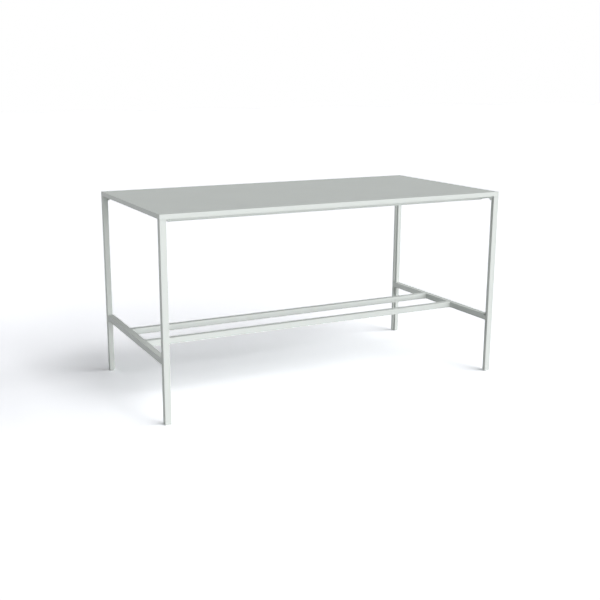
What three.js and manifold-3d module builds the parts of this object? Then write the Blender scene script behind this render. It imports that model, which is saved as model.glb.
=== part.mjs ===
// Standing meeting table: a laminated board on four rebated legs, with an underframe,
// two end stretchers, two foot rails and four levelling glides.
// Millimetres, +Z up, origin on the floor under the middle of the board.
// X runs along the length, Y along the depth, and the front is at -Y.

import * as THREE from 'three';
import { mergeVertices } from 'three/addons/utils/BufferGeometryUtils.js';
import Module from 'manifold-3d';

// Overall sizes
const tableLength = 2000;
const tableDepth = 1000;
const tableHeight = 1050;

// Board
const boardThickness = 24;
const laminateThickness = 0.8;
const edgeBandThickness = 2;
const edgeBandRound = 1;

// Leg section, with the rebate at the corner that faces the middle of the table
const legWidth = 33;
const legDepth = 33;
const rebateWidth = 9;
const rebateDepth = 16.5;
const legWall = 2.5;
const sectionRound = 0.5;

// End stretchers and the connectors at their ends
const stretcherTop = 338;
const stretcherHeight = 33;
const stretcherWall = 2.5;
const stretcherCollar = 8;
const stretcherRoot = 2;
const stretcherSpigot = 30;
const rebateFillHeight = 27;
const tongueRise = 28;
const tongueWidth = 6;
const tongueThickness = 3.5;

// Foot rails and the connectors at their ends
const footRailWidth = 33;
const footRailHeight = 33;
const footRailGap = 220;
const footRailWall = 2.5;
const footRailCollar = 14;
const footRailSpigot = 30;
const railStudRadius = 4;
const railStudTail = 6;

// Underframe ring and cross bearers below the board
const apronSetback = 65;
const apronWidth = 25;
const apronHeight = 23;
const apronWall = 2;
const apronSpigot = 40;
const bearerSpacing = 620;
const bearerWidth = 25;
const bearerHeight = 20;
const bearerWall = 2;

// Corner castings
const castingCap = 4;
const castingSpigot = 45;
const castingArmThickness = 17;
const castingArmDepth = 12;
const castingRoot = 12;

// Screws that hold the board to the castings
const boardScrewRadius = 2.5;
const boardScrewHeadRadius = 5;
const boardScrewHeadHeight = 3;
const boardScrewBite = 15;
const counterboreDepth = 4;

// Screws in the rebates, which pin the castings and the stretcher connectors to the legs
const pinRadius = 1.75;
const pinHeadRadius = 2.75;
const pinHeadHeight = 2;
const pinTail = 5;
const castingPinDrop = 8;

// Levelling glides
const legClearance = 2;
const padRadius = 9;
const padThickness = 6;
const padChamfer = 1;
const glideTravel = 12;
const threadEngagement = 22;
const studRadius = 4;
const studNeckRadius = 3;
const studNeckDepth = 3;
const studHexAcrossFlats = 10;
const studHexHeight = 4;
const plugLength = 30;

// Clearances
const glueLine = 0.2;
const fitGap = 0.3;

// Facets
const roundSteps = 4;
const rootSteps = 6;
const drillSides = 12;
const padSides = 24;
const hexSides = 6;
const backingSteps = 3;
const mergeDistance = 1e-4;

const wasm = await Module();
wasm.setup();

const table = new THREE.Group();

// Finishes
function finish(color, roughness, metalness) {
  return () => new THREE.MeshStandardMaterial({ color, roughness, metalness });
}
const powderCoat = finish(0xe0e6e2, 0.5, 0);
const laminate = finish(0xdbe1dd, 0.55, 0);
const woodCore = finish(0xb08d66, 0.9, 0);
const zincSteel = finish(0xb4b8ba, 0.35, 1);
const greyNylon = finish(0x8b8f8d, 0.6, 0);

function addPart(name, geometry, material) {
  const mesh = new THREE.Mesh(geometry, material());
  mesh.name = name;
  table.add(mesh);
}

// Solids for joining and cutting
function toSolid(geometry) {
  const bare = geometry.clone();
  bare.deleteAttribute('normal');
  bare.deleteAttribute('uv');
  const merged = mergeVertices(bare, mergeDistance);
  return new wasm.Manifold(new wasm.Mesh({
    numProp: 3,
    vertProperties: Float32Array.from(merged.getAttribute('position').array),
    triVerts: Uint32Array.from(merged.index.array),
  }));
}

function toGeometry(solid) {
  const mesh = solid.getMesh();
  const geometry = new THREE.BufferGeometry();
  geometry.setAttribute('position', new THREE.BufferAttribute(Float32Array.from(mesh.vertProperties), 3));
  geometry.setIndex(new THREE.BufferAttribute(Uint32Array.from(mesh.triVerts), 1));
  geometry.computeVertexNormals();
  return geometry;
}

function join(...geometries) {
  return geometries.map(toSolid).reduce((solid, other) => solid.add(other));
}

function cut(solid, ...geometries) {
  return geometries.map(toSolid).reduce((rest, tool) => rest.subtract(tool), solid);
}

// An outline through the points, with its outward corners rounded
function polygon(points, round = 0) {
  const corners = points.map(([a, b]) => new THREE.Vector2(a, b));
  if (THREE.ShapeUtils.isClockWise(corners)) {
    corners.reverse();
  }
  const shape = new THREE.Shape();
  corners.forEach((corner, i) => {
    const toBefore = corners.at(i - 1).clone().sub(corner);
    const toAfter = corners[(i + 1) % corners.length].clone().sub(corner);
    const radius = toAfter.cross(toBefore) > 0 ? round : 0;
    const start = toBefore.setLength(radius).add(corner);
    const end = toAfter.setLength(radius).add(corner);
    if (i === 0) {
      shape.moveTo(start.x, start.y);
    } else {
      shape.lineTo(start.x, start.y);
    }
    if (radius > 0) {
      shape.quadraticCurveTo(corner.x, corner.y, end.x, end.y);
    }
  });
  shape.closePath();
  return shape;
}

function rectangle(a0, b0, a1, b1, round = 0) {
  return polygon([[a0, b0], [a1, b0], [a1, b1], [a0, b1]], round);
}

// Extrusions along X take an outline in (y, z), along Y in (x, z) and along Z in (x, y)
const acrossX = new THREE.Vector3(1, 0, 0);
const acrossY = new THREE.Vector3(0, 1, 0);
const upward = new THREE.Vector3(0, 0, 1);

function sweep(shape, from, to, basis, curveSteps, lengthSteps = 1) {
  const geometry = new THREE.ExtrudeGeometry(shape, {
    depth: to - from,
    steps: lengthSteps,
    bevelEnabled: false,
    curveSegments: curveSteps,
  });
  return geometry.translate(0, 0, from).applyMatrix4(basis);
}

function extrudeX(shape, from, to, lengthSteps = 1) {
  const basis = new THREE.Matrix4().makeBasis(acrossY, upward, acrossX);
  return sweep(shape, from, to, basis, roundSteps, lengthSteps);
}

function extrudeY(shape, from, to) {
  const backward = acrossY.clone().negate();
  return sweep(shape, -to, -from, new THREE.Matrix4().makeBasis(acrossX, upward, backward), roundSteps);
}

function extrudeZ(shape, from, to) {
  return sweep(shape, from, to, new THREE.Matrix4(), roundSteps);
}

function block(x0, x1, y0, y1, z0, z1) {
  const geometry = new THREE.BoxGeometry(Math.abs(x1 - x0), Math.abs(y1 - y0), Math.abs(z1 - z0));
  return geometry.translate((x0 + x1) / 2, (y0 + y1) / 2, (z0 + z1) / 2);
}

function tubeOutline(a0, a1, b0, b1, wall) {
  const [left, right] = [Math.min(a0, a1), Math.max(a0, a1)];
  const shape = rectangle(left, b0, right, b1, sectionRound);
  shape.holes.push(rectangle(left + wall, b0 + wall, right - wall, b1 - wall));
  return shape;
}

// A turned piece from (radius, height) steps, standing on the point (x, y)
function turning(steps, x, y, sides) {
  const profile = steps.map(([radius, height]) => new THREE.Vector2(radius, height));
  return new THREE.LatheGeometry(profile, sides).rotateX(Math.PI / 2).translate(x, y, 0);
}

function upright(x, y, z0, z1, radius, sides = drillSides) {
  return turning([[0, z0], [radius, z0], [radius, z1], [0, z1]], x, y, sides);
}

// A screw whose head is seated at the origin and whose shank runs along +Z
function screw(headRadius, headHeight, shankRadius, reach) {
  const steps = [[0, -headHeight], [headRadius, -headHeight], [headRadius, 0],
    [shankRadius, 0], [shankRadius, reach], [0, reach]];
  return turning(steps, 0, 0, drillSides);
}

// Turns a piece that stands along +Z so that it points along a direction from a place
function pointed(geometry, direction, x, y, z) {
  const turn = new THREE.Quaternion().setFromUnitVectors(upward, direction);
  return geometry.applyQuaternion(turn).translate(x, y, z);
}

// A collar that stands on a wall with a round root on each side of it
function rootedCollar(wall, towards, length, low, high, root) {
  const end = wall + towards * length;
  const rootEnd = wall + towards * root;
  const shape = new THREE.Shape();
  shape.moveTo(wall, low - root);
  shape.quadraticCurveTo(wall, low, rootEnd, low);
  shape.lineTo(end, low);
  shape.lineTo(end, high);
  shape.lineTo(rootEnd, high);
  shape.quadraticCurveTo(wall, high, wall, high + root);
  shape.closePath();
  return shape;
}

// Levels and reaches worked out from the sizes
const halfLength = tableLength / 2;
const halfDepth = tableDepth / 2;
const boardUnderside = tableHeight - boardThickness;
const frameTop = boardUnderside - fitGap;
const legTop = frameTop - castingCap - fitGap;
const rootBottom = frameTop - castingArmDepth - castingRoot;
const apronBottom = frameTop - apronHeight;
const apronInner = apronSetback + apronWidth;
const hubCentre = apronSetback + apronWidth / 2;
const stretcherBottom = stretcherTop - stretcherHeight;
const footRailBottom = stretcherTop - footRailHeight;
const webWidth = legWidth - rebateWidth;
const webDepth = legDepth - rebateDepth;
const plugBottom = padThickness + studHexHeight + 3 * fitGap;
const studTop = plugBottom + threadEngagement + glideTravel;

const sides = [['left', -1], ['right', 1]];
const ends = [['front', -1], ['back', 1]];
const corners = ends.flatMap(([end, sy]) => sides.map(([side, sx]) => ({ name: `${end}_${side}`, sx, sy })));

// Places at a corner of the table: p is measured inward from the end and q from the long edge
const placeX = (corner, p) => corner.sx * (halfLength - p);
const placeY = (corner, q) => corner.sy * (halfDepth - q);

function cornerBlock(corner, [p0, p1], [q0, q1], [z0, z1]) {
  return block(placeX(corner, p0), placeX(corner, p1), placeY(corner, q0), placeY(corner, q1), z0, z1);
}

// The leg's section drawn inward by an offset, which is 0 for its outer face
function legOutline(corner, offset, round = 0) {
  const points = [
    [offset, offset],
    [legWidth - offset, offset],
    [legWidth - offset, webDepth - offset],
    [webWidth - offset, webDepth - offset],
    [webWidth - offset, legDepth - offset],
    [offset, legDepth - offset],
  ];
  return polygon(points.map(([p, q]) => [placeX(corner, p), placeY(corner, q)]), round);
}

// An edge band in section, with its upper edge eased
function bandOutline(inner, outer) {
  const eased = outer - Math.sign(outer) * edgeBandRound;
  const shape = new THREE.Shape();
  shape.moveTo(inner, boardUnderside);
  shape.lineTo(outer, boardUnderside);
  shape.lineTo(outer, tableHeight - edgeBandRound);
  shape.quadraticCurveTo(outer, tableHeight, eased, tableHeight);
  shape.lineTo(inner, tableHeight);
  shape.closePath();
  return shape;
}

function addBoard() {
  const bandX = halfLength - edgeBandThickness;
  const bandY = halfDepth - edgeBandThickness;
  const sheetX = bandX - glueLine;
  const sheetY = bandY - glueLine;
  const sheet = (z0, z1) => block(-sheetX, sheetX, -sheetY, sheetY, z0, z1);
  const pilots = corners.map((corner) => upright(placeX(corner, hubCentre), placeY(corner, hubCentre),
    frameTop, frameTop + boardScrewBite + fitGap, boardScrewRadius + fitGap));
  const coreTop = tableHeight - laminateThickness - glueLine;
  const backingTop = boardUnderside + laminateThickness;
  const core = cut(toSolid(sheet(backingTop + glueLine, coreTop)), ...pilots);
  // The underside is drawn in strips, so that the margin that a clamp can grip is a face of its own
  const margin = halfDepth - apronSetback + fitGap;
  const backingOutline = polygon([[-sheetY, boardUnderside], [-margin, boardUnderside],
    [margin, boardUnderside], [sheetY, boardUnderside], [sheetY, backingTop], [-sheetY, backingTop]]);
  const backing = cut(toSolid(extrudeX(backingOutline, -sheetX, sheetX, backingSteps)), ...pilots);
  addPart('tabletop_core', toGeometry(core), woodCore);
  addPart('top_laminate', sheet(tableHeight - laminateThickness, tableHeight), laminate);
  addPart('backing_laminate', toGeometry(backing), laminate);

  // The front and back bands run the full length, and the end bands fit between them
  for (const [end, sy] of ends) {
    const outline = bandOutline(sy * bandY, sy * halfDepth);
    addPart(`edge_band_${end}`, extrudeX(outline, -halfLength, halfLength), laminate);
  }
  for (const [side, sx] of sides) {
    const outline = bandOutline(sx * bandX, sx * halfLength);
    addPart(`edge_band_${side}`, extrudeY(outline, -sheetY, sheetY), laminate);
  }
}

function addUnderframe() {
  const reachX = halfLength - apronInner - fitGap;
  const reachY = halfDepth - apronInner - fitGap;
  for (const [end, sy] of ends) {
    const outline = tubeOutline(sy * (halfDepth - apronSetback), sy * (halfDepth - apronInner),
      apronBottom, frameTop, apronWall);
    addPart(`apron_${end}`, extrudeX(outline, -reachX, reachX), powderCoat);
  }
  for (const [side, sx] of sides) {
    const outline = tubeOutline(sx * (halfLength - apronSetback), sx * (halfLength - apronInner),
      apronBottom, frameTop, apronWall);
    addPart(`apron_${side}`, extrudeY(outline, -reachY, reachY), powderCoat);
    const middle = sx * bearerSpacing / 2;
    const bearer = tubeOutline(middle - bearerWidth / 2, middle + bearerWidth / 2,
      frameTop - bearerHeight, frameTop, bearerWall);
    addPart(`cross_bearer_${side}`, extrudeY(bearer, -reachY, reachY), powderCoat);
  }
}

// The arm of a casting runs from the rebate of the leg to the hub in the corner of the underframe.
// Its near end reaches back until its sides run into the leg. Its underside is flat as far as the
// corner of the leg, rises there in a round root and then falls to the hub.
function castingArm(corner) {
  const start = new THREE.Vector2(legWidth - rebateWidth / 2, legDepth - rebateDepth / 2);
  const run = new THREE.Vector2(hubCentre, hubCentre).sub(start);
  const length = run.length();
  const leave = new THREE.Vector2(legWidth, legDepth).sub(start).dot(run) / length;
  const back = -castingArmThickness / 2;
  const shape = new THREE.Shape();
  shape.moveTo(back, frameTop);
  shape.lineTo(back, rootBottom);
  shape.lineTo(leave, rootBottom);
  shape.absarc(leave + castingRoot, rootBottom, castingRoot, Math.PI, Math.PI / 2, true);
  shape.lineTo(length, apronBottom);
  shape.lineTo(length, frameTop);
  shape.closePath();
  const along = new THREE.Vector3(-corner.sx * run.x, -corner.sy * run.y, 0).normalize();
  const across = new THREE.Vector3().crossVectors(along, upward);
  const basis = new THREE.Matrix4().makeBasis(along, upward, across);
  basis.setPosition(placeX(corner, start.x), placeY(corner, start.y), 0);
  return sweep(shape, -castingArmThickness / 2, castingArmThickness / 2, basis, rootSteps);
}

// The pin screws at a corner. Grown by a clearance, the same shapes drill their holes.
function castingPin(corner, grow) {
  const reach = 2 * fitGap + legWall + pinTail;
  const geometry = screw(pinHeadRadius + grow, pinHeadHeight + grow, pinRadius + grow, reach + grow);
  return pointed(geometry, new THREE.Vector3(corner.sx, 0, 0), placeX(corner, webWidth + fitGap),
    placeY(corner, legDepth - rebateDepth / 2), rootBottom - castingPinDrop);
}

function tonguePin(corner, grow) {
  const seat = webDepth + fitGap + tongueThickness + fitGap;
  const reach = seat - webDepth + legWall + pinTail;
  const geometry = screw(pinHeadRadius + grow, pinHeadHeight + grow, pinRadius + grow, reach + grow);
  const middle = webWidth + fitGap + tongueWidth / 2;
  return pointed(geometry, new THREE.Vector3(0, corner.sy, 0), placeX(corner, middle), placeY(corner, seat),
    stretcherTop + tongueRise / 2);
}

function addCornerCasting(corner) {
  const hubX = placeX(corner, hubCentre);
  const hubY = placeY(corner, hubCentre);
  const ring = [apronSetback, apronInner];
  const inset = apronWall + fitGap;
  const bore = [apronSetback + inset, apronInner - inset];
  const boreLevels = [apronBottom + inset, frameTop - inset];
  const spigotRun = [apronInner - fitGap, apronInner + apronSpigot];
  const legRoom = extrudeZ(legOutline(corner, -fitGap), rootBottom - fitGap, legTop + fitGap);
  const arm = cut(toSolid(castingArm(corner)), legRoom);
  const body = join(
    cornerBlock(corner, ring, ring, [apronBottom, frameTop]),
    cornerBlock(corner, spigotRun, bore, boreLevels),
    cornerBlock(corner, bore, spigotRun, boreLevels),
    extrudeZ(legOutline(corner, 0, sectionRound), frameTop - castingCap, frameTop),
    extrudeZ(legOutline(corner, legWall + fitGap), legTop - castingSpigot, frameTop - fitGap),
    cornerBlock(corner, [webWidth + fitGap, legWidth], [webDepth + fitGap, legDepth], [rootBottom, frameTop]),
  );
  const casting = cut(body.add(arm),
    upright(hubX, hubY, apronBottom - fitGap, frameTop + fitGap, boardScrewRadius + fitGap),
    upright(hubX, hubY, apronBottom - fitGap, apronBottom + counterboreDepth, boardScrewHeadRadius + fitGap),
    castingPin(corner, fitGap));
  addPart(`corner_casting_${corner.name}`, toGeometry(casting), powderCoat);
  addPart(`corner_screw_${corner.name}`, toGeometry(toSolid(castingPin(corner, 0))), zincSteel);

  const seat = apronBottom + counterboreDepth - fitGap;
  const reach = frameTop + boardScrewBite - seat;
  const boardScrew = screw(boardScrewHeadRadius, boardScrewHeadHeight, boardScrewRadius, reach);
  boardScrew.translate(hubX, hubY, seat);
  addPart(`board_screw_${corner.name}`, toGeometry(toSolid(boardScrew)), zincSteel);
}

function addLeg(corner) {
  const section = legOutline(corner, 0, sectionRound);
  section.holes.push(legOutline(corner, legWall));
  const post = toSolid(extrudeZ(section, legClearance, legTop));
  const drilled = cut(post, castingPin(corner, fitGap), tonguePin(corner, fitGap));
  addPart(`leg_${corner.name}`, toGeometry(drilled), powderCoat);
}

const stretcherStart = legDepth + fitGap;
const stretcherEnd = stretcherStart + stretcherCollar;
const railWall = halfLength - legWidth - fitGap;

// The stud of a foot rail's connector, through the inner wall of the stretcher.
// Grown by a clearance, the same shape drills its hole.
function railStud(sx, sy, grow) {
  const reach = fitGap + stretcherWall + railStudTail;
  const stud = upright(0, 0, -fitGap, reach + grow, railStudRadius + grow);
  return pointed(stud, new THREE.Vector3(sx, 0, 0), sx * railWall, sy * (footRailGap + footRailWidth) / 2,
    stretcherTop - footRailHeight / 2);
}

function addStretchers() {
  const reach = halfDepth - stretcherEnd - fitGap;
  for (const [side, sx] of sides) {
    const outline = tubeOutline(sx * halfLength, sx * (halfLength - legWidth), stretcherBottom, stretcherTop,
      stretcherWall);
    const holes = ends.map(([, sy]) => railStud(sx, sy, fitGap));
    const stretcher = cut(toSolid(extrudeY(outline, -reach, reach)), ...holes);
    addPart(`end_stretcher_${side}`, toGeometry(stretcher), powderCoat);
  }
}

// The connector fills the lower part of the rebate beside the stretcher, and its tongue rises in the rebate
function addStretcherJoint(corner) {
  const inset = stretcherWall + fitGap;
  const bore = [inset, legWidth - inset];
  const wallY = placeY(corner, stretcherStart);
  const endY = placeY(corner, stretcherEnd);
  const outline = rectangle(placeX(corner, 0), stretcherBottom, placeX(corner, legWidth), stretcherTop,
    sectionRound);
  const roots = rootedCollar(wallY, -corner.sy, stretcherCollar, stretcherBottom, stretcherTop,
    stretcherRoot);
  const rootFrom = placeX(corner, sectionRound);
  const rootTo = placeX(corner, webWidth);
  const inRebate = [webDepth + fitGap, stretcherStart + fitGap];
  const fillLevels = [stretcherBottom, stretcherBottom + rebateFillHeight];
  const onWeb = [webWidth + fitGap, webWidth + fitGap + tongueWidth];
  const onWall = [webDepth + fitGap, webDepth + fitGap + tongueThickness];
  const joint = join(
    extrudeY(outline, Math.min(wallY, endY), Math.max(wallY, endY)),
    extrudeX(roots, Math.min(rootFrom, rootTo), Math.max(rootFrom, rootTo)),
    cornerBlock(corner, [webWidth + fitGap, legWidth], inRebate, fillLevels),
    cornerBlock(corner, onWeb, onWall, [stretcherBottom, stretcherTop + tongueRise]),
    cornerBlock(corner, bore, [stretcherEnd - fitGap, stretcherEnd + stretcherSpigot],
      [stretcherBottom + inset, stretcherTop - inset]),
  );
  addPart(`stretcher_joint_${corner.name}`, toGeometry(cut(joint, tonguePin(corner, fitGap))), powderCoat);
  addPart(`joint_screw_${corner.name}`, toGeometry(toSolid(tonguePin(corner, 0))), zincSteel);
}

function addFootRails() {
  const inset = footRailWall + fitGap;
  const collarEnd = railWall - footRailCollar;
  for (const [end, sy] of ends) {
    const inner = sy * footRailGap / 2;
    const outer = inner + sy * footRailWidth;
    const [y0, y1] = [Math.min(inner, outer), Math.max(inner, outer)];
    const outline = tubeOutline(y0, y1, footRailBottom, stretcherTop, footRailWall);
    addPart(`foot_rail_${end}`, extrudeX(outline, -collarEnd + fitGap, collarEnd - fitGap), powderCoat);
    for (const [side, sx] of sides) {
      const [x0, x1] = [Math.min(sx * railWall, sx * collarEnd), Math.max(sx * railWall, sx * collarEnd)];
      const joint = join(
        extrudeX(rectangle(y0, footRailBottom, y1, stretcherTop, sectionRound), x0, x1),
        railStud(sx, sy, 0),
        block(sx * (collarEnd + fitGap), sx * (collarEnd - footRailSpigot), y0 + inset, y1 - inset,
          footRailBottom + inset, stretcherTop - inset),
      );
      addPart(`foot_rail_joint_${end}_${side}`, toGeometry(joint), powderCoat);
    }
  }
}

// The stud turns in the plug and in the socket of the pad, and carries the pad up and down
function addGlide(corner) {
  const x = placeX(corner, webWidth / 2);
  const y = placeY(corner, legDepth / 2);
  const plug = toSolid(extrudeZ(legOutline(corner, legWall + fitGap), plugBottom, plugBottom + plugLength));
  const thread = upright(x, y, plugBottom - fitGap, plugBottom + plugLength + fitGap, studRadius + fitGap);
  addPart(`foot_plug_${corner.name}`, toGeometry(cut(plug, thread)), greyNylon);

  const socketRadius = studNeckRadius + fitGap;
  const socketFloor = padThickness - studNeckDepth - fitGap;
  const pad = turning([
    [0, 0],
    [padRadius - padChamfer, 0],
    [padRadius, padChamfer],
    [padRadius, padThickness],
    [socketRadius, padThickness],
    [socketRadius, socketFloor],
    [0, socketFloor],
  ], x, y, padSides);
  addPart(`glide_pad_${corner.name}`, toGeometry(toSolid(pad)), greyNylon);

  const hexBottom = padThickness + fitGap;
  const hexRadius = studHexAcrossFlats / Math.sqrt(3);
  const stud = join(
    upright(x, y, padThickness - studNeckDepth, hexBottom + fitGap, studNeckRadius),
    upright(x, y, hexBottom, hexBottom + studHexHeight, hexRadius, hexSides),
    upright(x, y, hexBottom + fitGap, studTop, studRadius),
  );
  addPart(`glide_stud_${corner.name}`, toGeometry(stud), zincSteel);
}

addBoard();
addUnderframe();
corners.forEach(addCornerCasting);
corners.forEach(addLeg);
addStretchers();
corners.forEach(addStretcherJoint);
addFootRails();
corners.forEach(addGlide);

export default table;
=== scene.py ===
# %% [markdown]
# # A standing meeting table
# The table is a banded board on four rebated steel legs. Two end stretchers and two foot rails
# tie the legs together, a ring of tubes stiffens the board, and every foot has a glide that
# screws up and down.
# The imported solids are loaded first and never move: they are the frame that every piece made
# here is measured from. The last cell prints the box of the dressed table.

# %% Load the solids
import math

import bmesh
import bpy
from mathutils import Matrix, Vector


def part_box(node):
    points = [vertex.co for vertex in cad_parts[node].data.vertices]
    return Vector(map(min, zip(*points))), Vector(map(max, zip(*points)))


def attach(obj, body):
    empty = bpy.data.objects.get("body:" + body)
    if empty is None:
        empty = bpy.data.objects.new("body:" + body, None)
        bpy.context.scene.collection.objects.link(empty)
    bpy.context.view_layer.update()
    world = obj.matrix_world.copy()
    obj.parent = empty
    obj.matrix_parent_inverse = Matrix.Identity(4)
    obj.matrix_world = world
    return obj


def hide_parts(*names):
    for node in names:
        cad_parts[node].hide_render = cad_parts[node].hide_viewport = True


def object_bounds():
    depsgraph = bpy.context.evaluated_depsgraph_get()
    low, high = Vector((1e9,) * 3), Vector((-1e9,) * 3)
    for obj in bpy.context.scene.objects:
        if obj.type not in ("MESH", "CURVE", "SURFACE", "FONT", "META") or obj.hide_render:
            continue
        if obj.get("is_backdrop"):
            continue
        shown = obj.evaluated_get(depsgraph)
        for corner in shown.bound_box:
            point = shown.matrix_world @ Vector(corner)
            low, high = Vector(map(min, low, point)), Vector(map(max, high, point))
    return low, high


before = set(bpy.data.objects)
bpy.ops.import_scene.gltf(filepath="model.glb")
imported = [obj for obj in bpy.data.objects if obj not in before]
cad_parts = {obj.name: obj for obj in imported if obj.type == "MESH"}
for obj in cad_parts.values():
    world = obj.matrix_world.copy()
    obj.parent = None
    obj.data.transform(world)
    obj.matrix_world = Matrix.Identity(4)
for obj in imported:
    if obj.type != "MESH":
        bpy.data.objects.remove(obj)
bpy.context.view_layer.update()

# %% [markdown]
# ## The camera
# The camera was found from the straight edges of the table in the photograph: its place, the
# way it turns and its lens are those that put the corners of a table of this size where they
# are in the picture. The small shift is the picture's crop.

# %% Place the camera
camera_data = bpy.data.cameras.new("photo_camera")
camera_data.lens = 55.149
camera_data.sensor_width = 36.0
camera_data.shift_x = 0.0383
camera_data.shift_y = -0.0115
camera = bpy.data.objects.new("photo_camera", camera_data)
bpy.context.scene.collection.objects.link(camera)
camera.location = (-2.3841, -4.5765, 1.6816)
turn_right = math.radians(26.104)
tilt_down = math.radians(13.284)
camera.rotation_euler = (math.pi / 2 - tilt_down, 0.0, -turn_right)
bpy.context.scene.camera = camera
print("camera at", tuple(camera.location))

# %% [markdown]
# ## Light
# The photograph has soft light from the front and the right: the front faces are nearly white,
# the top is a middle grey, the left faces are darker and the shadow falls to the left and to
# the back. One lamp can't do that, so a few wide suns stand round the table like softboxes in
# a studio. A sun is used and not an area lamp, because its light doesn't fall off across the
# floor. Each strength is the share of full light that a white surface facing the lamp gets.

# %% Light the table
LAMPS = (
    # name, degrees to the right of the front, degrees above the floor, width, strength
    ("low_front_lamp", 0, 6, 12, 0.332),
    ("front_lamp", 0, 35, 30, 0.066),
    ("middle_front_lamp", 30, 35, 30, 0.151),
    ("high_front_lamp", 30, 60, 24, 0.188),
    ("low_right_lamp", 60, 12, 30, 0.516),
    ("right_lamp", 75, 45, 24, 0.097),
    ("top_lamp", 0, 88, 30, 0.023),
    ("left_lamp", -120, 35, 30, 0.073),
    ("low_back_lamp", -150, 6, 12, 0.183),
    ("back_lamp", 150, 35, 30, 0.050),
)
bpy.context.scene.view_settings.view_transform = "Standard"


def add_lamp(name, to_right, above, width, strength):
    lamp = bpy.data.lights.new(name, "SUN")
    lamp.energy = math.pi * strength
    lamp.angle = math.radians(width)
    lamp_object = bpy.data.objects.new(name, lamp)
    lamp_object.rotation_euler = (math.radians(90 - above), 0, math.radians(to_right))
    bpy.context.scene.collection.objects.link(lamp_object)


for lamp_row in LAMPS:
    add_lamp(*lamp_row)
top_light = sum(row[4] * math.sin(math.radians(row[2])) for row in LAMPS)
print("light on the top:", round(top_light, 3))

# %% [markdown]
# ## Background and floor
# The ground of the photograph is pure white, but the table mustn't get more light for that. So
# the world and the floor are white only to what looks at them: to the camera, and to the
# reflections in metal. For every other ray the world is dark and the floor is a plain pale
# floor. The floor is seen from above alone, so that a view from below shows the feet.

# %% Make the background
WHITE = (1.0, 1.0, 1.0, 1.0)
PALE_FLOOR = (0.8, 0.8, 0.8, 1.0)
SEEN_FLOOR = (1.72, 1.74, 1.80, 1.0)


def add_looked_at(tree):
    rays = tree.nodes.new("ShaderNodeLightPath")
    last = rays.outputs["Is Camera Ray"]
    for kind in ("Is Glossy Ray", "Is Transmission Ray"):
        either = tree.nodes.new("ShaderNodeMath")
        either.operation = "MAXIMUM"
        tree.links.new(last, either.inputs[0])
        tree.links.new(rays.outputs[kind], either.inputs[1])
        last = either.outputs[0]
    return last


def add_choice(tree, factor, off, on):
    choice = tree.nodes.new("ShaderNodeMixShader")
    tree.links.new(factor, choice.inputs["Fac"])
    tree.links.new(off, choice.inputs[1])
    tree.links.new(on, choice.inputs[2])
    return choice.outputs[0]


world = bpy.data.worlds.new("studio")
bpy.context.scene.world = world
world.use_nodes = True
tree = world.node_tree
tree.nodes.clear()
grounds = []
for strength in (0.0, 1.0):
    ground = tree.nodes.new("ShaderNodeBackground")
    ground.inputs["Color"].default_value = WHITE
    ground.inputs["Strength"].default_value = strength
    grounds.append(ground.outputs[0])
world_out = tree.nodes.new("ShaderNodeOutputWorld")
tree.links.new(add_choice(tree, add_looked_at(tree), *grounds), world_out.inputs["Surface"])

# %% Lay the floor
FLOOR_SIZE = 80
bpy.ops.object.select_all(action="DESELECT")
bpy.ops.mesh.primitive_plane_add(size=FLOOR_SIZE)
floor = bpy.context.object
floor.name = "floor"
floor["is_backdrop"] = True
floor_finish = bpy.data.materials.new("floor_white")
floor_finish.use_nodes = True
tree = floor_finish.node_tree
tree.nodes.clear()
floors = []
for colour in (PALE_FLOOR, SEEN_FLOOR):
    matt = tree.nodes.new("ShaderNodeBsdfDiffuse")
    matt.inputs["Color"].default_value = colour
    floors.append(matt.outputs[0])
from_above = add_choice(tree, add_looked_at(tree), *floors)
facing = tree.nodes.new("ShaderNodeNewGeometry")
nothing = tree.nodes.new("ShaderNodeBsdfTransparent")
one_sided = add_choice(tree, facing.outputs["Backfacing"], from_above, nothing.outputs[0])
floor_out = tree.nodes.new("ShaderNodeOutputMaterial")
tree.links.new(one_sided, floor_out.inputs["Surface"])
floor.data.materials.append(floor_finish)
print("floor:", FLOOR_SIZE, "m square")

# %% [markdown]
# ## Finishes
# A finish is a shader whose colour, roughness and bump come from noise at the size of the real
# grain. All of them read Object coordinates, which are metres here, so a noise scale of 1000
# has grains of about a millimetre. The helpers add one node each and return its output.

# %% Helpers for finishes
def start_finish(name):
    finish = bpy.data.materials.new(name)
    finish.use_nodes = True
    tree = finish.node_tree
    place = tree.nodes.new("ShaderNodeTexCoord")
    return finish, tree, tree.nodes["Principled BSDF"], place.outputs["Object"]


def add_noise(tree, place, scale, detail=2.0):
    noise = tree.nodes.new("ShaderNodeTexNoise")
    noise.inputs["Scale"].default_value = scale
    noise.inputs["Detail"].default_value = detail
    tree.links.new(place, noise.inputs["Vector"])
    return noise.outputs["Fac"]


def add_cells(tree, place, scale):
    cells = tree.nodes.new("ShaderNodeTexVoronoi")
    cells.inputs["Scale"].default_value = scale
    tree.links.new(place, cells.inputs["Vector"])
    return cells.outputs["Distance"], cells.outputs["Color"]


def add_blend(tree, first, second, share):
    blend = tree.nodes.new("ShaderNodeMix")
    blend.inputs["Factor"].default_value = share
    tree.links.new(first, blend.inputs["A"])
    tree.links.new(second, blend.inputs["B"])
    return blend.outputs["Result"]


def add_tints(tree, factor, *tints):
    ramp = tree.nodes.new("ShaderNodeValToRGB")
    stops = ramp.color_ramp.elements
    while len(stops) < len(tints):
        stops.new(0.5)
    for stop, (position, colour) in zip(stops, tints):
        stop.position = position
        stop.color = (*colour, 1.0)
    tree.links.new(factor, ramp.inputs["Fac"])
    return ramp.outputs["Color"]


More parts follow.
